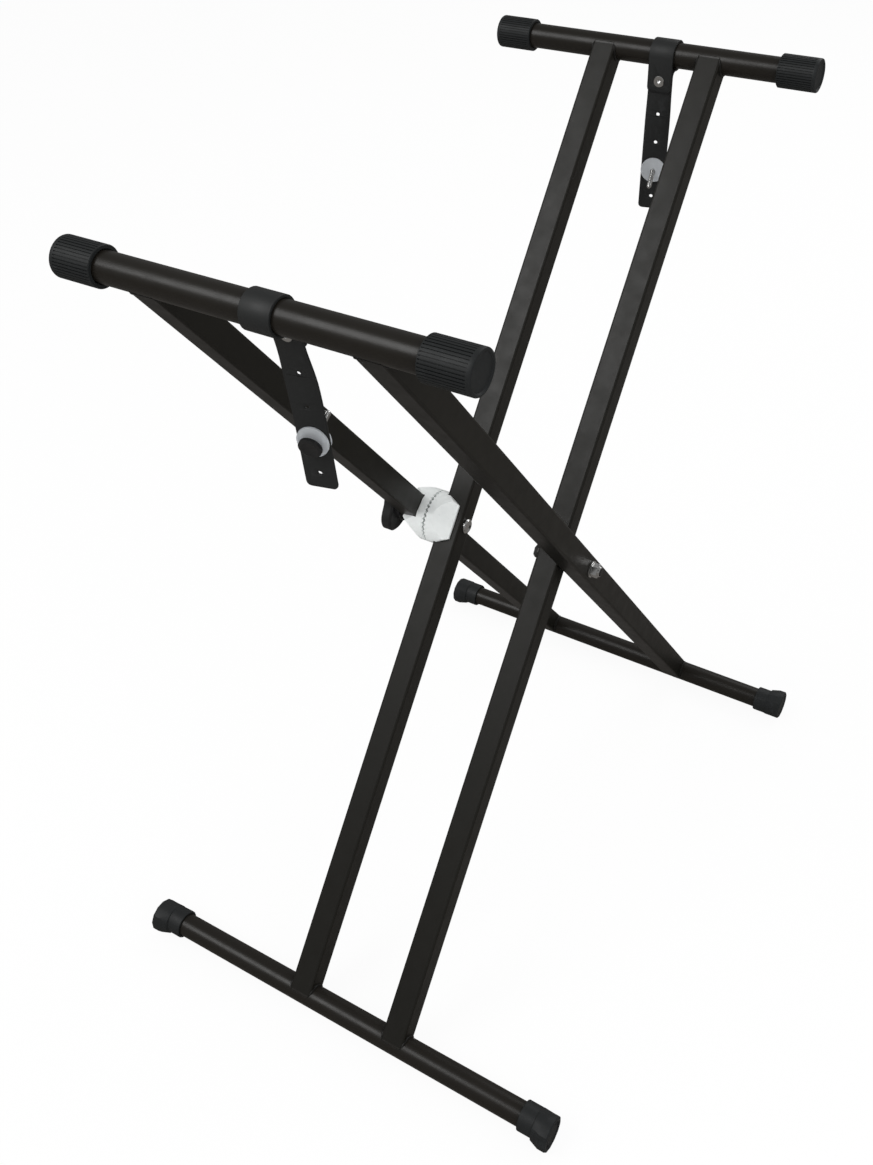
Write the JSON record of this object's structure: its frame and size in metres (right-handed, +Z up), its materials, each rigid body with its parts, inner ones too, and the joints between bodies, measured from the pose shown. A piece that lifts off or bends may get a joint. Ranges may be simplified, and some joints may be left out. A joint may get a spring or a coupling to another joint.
{
  "type": "keyboard stand",
  "caption": "Folding X-shaped keyboard stand of square tube, with a toothed clutch, levelling feet and rubber straps.",
  "frame": {"origin": "on the floor, under the middle of the stand", "axes": "+X along the bars, from the clutch side to the plain pivot side; +Y to the rear; +Z up"},
  "size_m": [0.4956, 0.6966, 0.8537],
  "materials": {
    "tube_paint": "satin black powder coat",
    "bar_paint": "satin black powder coat",
    "cap_rubber": "moulded black rubber",
    "strap_rubber": "matte black rubber",
    "cast_metal": "bare die casting",
    "bright_steel": "zinc-plated steel",
    "dark_steel": "blackened steel",
    "black_plastic": "moulded black plastic",
    "clear_plastic": "cloudy soft plastic",
    "brass": "turned brass"
  },
  "bodies": {
    "inner_frame": {"inner_tube_left": "tube_paint", "inner_tube_right": "tube_paint", "inner_top_bar": "bar_paint", "inner_foot_bar": "bar_paint", "inner_top_cap_left": "cap_rubber", "inner_top_cap_right": "cap_rubber", "inner_clutch_casting": "cast_metal", "clutch_bolt": "bright_steel", "clutch_spring": "bright_steel", "pivot_bolt": "dark_steel", "pivot_washer_inner": "dark_steel", "pivot_spacer": "black_plastic"},
    "outer_frame": {"outer_tube_left": "tube_paint", "outer_tube_right": "tube_paint", "outer_top_bar": "bar_paint", "outer_foot_bar": "bar_paint", "outer_top_cap_left": "cap_rubber", "outer_top_cap_right": "cap_rubber", "outer_clutch_casting": "cast_metal", "clutch_washer": "bright_steel", "pivot_washer_outer": "bright_steel", "pivot_nut": "bright_steel"},
    "knob": {"clutch_knob": "black_plastic", "clutch_knob_insert": "brass"},
    "foot_inner_left": {"inner_foot_cap_left": "cap_rubber"},
    "foot_inner_right": {"inner_foot_cap_right": "cap_rubber"},
    "foot_outer_left": {"outer_foot_cap_left": "cap_rubber"},
    "foot_outer_right": {"outer_foot_cap_right": "cap_rubber"},
    "strap_front": {"front_strap": "strap_rubber", "front_strap_eyelet": "bright_steel", "front_strap_washer_inner": "clear_plastic", "front_strap_washer_outer": "clear_plastic"},
    "strap_rear": {"rear_strap": "strap_rubber", "rear_strap_eyelet": "bright_steel", "rear_strap_washer_inner": "clear_plastic", "rear_strap_washer_outer": "clear_plastic"},
    "screw_front": {"front_strap_knob": "black_plastic", "front_strap_screw": "bright_steel"},
    "screw_rear": {"rear_strap_knob": "black_plastic", "rear_strap_screw": "bright_steel"}
  },
  "joints": [
    {"name": "fold", "type": "hinge", "parent": "inner_frame", "child": "outer_frame", "pos_m": [0, 0, 0.42741], "axis": [1, 0, 0], "range_deg": [-69, 32]},
    {"name": "knob_turn", "type": "hinge", "parent": "outer_frame", "child": "knob", "pos_m": [-0.12, 0, 0.42741], "axis": [1, 0, 0], "continuous": true},
    {"name": "foot_inner_left_turn", "type": "hinge", "parent": "inner_frame", "child": "foot_inner_left", "pos_m": [-0.2138, -0.32789, 0.0174], "axis": [1, 0, 0], "continuous": true},
    {"name": "foot_inner_right_turn", "type": "hinge", "parent": "inner_frame", "child": "foot_inner_right", "pos_m": [0.2138, -0.32789, 0.0174], "axis": [1, 0, 0], "continuous": true},
    {"name": "foot_outer_left_turn", "type": "hinge", "parent": "outer_frame", "child": "foot_outer_left", "pos_m": [-0.2138, 0.32789, 0.0174], "axis": [1, 0, 0], "continuous": true},
    {"name": "foot_outer_right_turn", "type": "hinge", "parent": "outer_frame", "child": "foot_outer_right", "pos_m": [0.2138, 0.32789, 0.0174], "axis": [1, 0, 0], "continuous": true},
    {"name": "strap_front_swing", "type": "hinge", "parent": "outer_frame", "child": "strap_front", "pos_m": [0.01, -0.32789, 0.83742], "axis": [1, 0, 0], "range_deg": [-90, 60]},
    {"name": "strap_rear_swing", "type": "hinge", "parent": "inner_frame", "child": "strap_rear", "pos_m": [0.0155, 0.32789, 0.83742], "axis": [1, 0, 0], "range_deg": [-60, 90]},
    {"name": "screw_front_turn", "type": "hinge", "parent": "strap_front", "child": "screw_front", "pos_m": [0.01395, -0.29741, 0.72039], "axis": [-0.2034, 0.9419, 0.2674], "continuous": true},
    {"name": "screw_rear_turn", "type": "hinge", "parent": "strap_rear", "child": "screw_rear", "pos_m": [0.0155, 0.31457, 0.71945], "axis": [0.2095, -0.8571, -0.4706], "continuous": true}
  ]
}
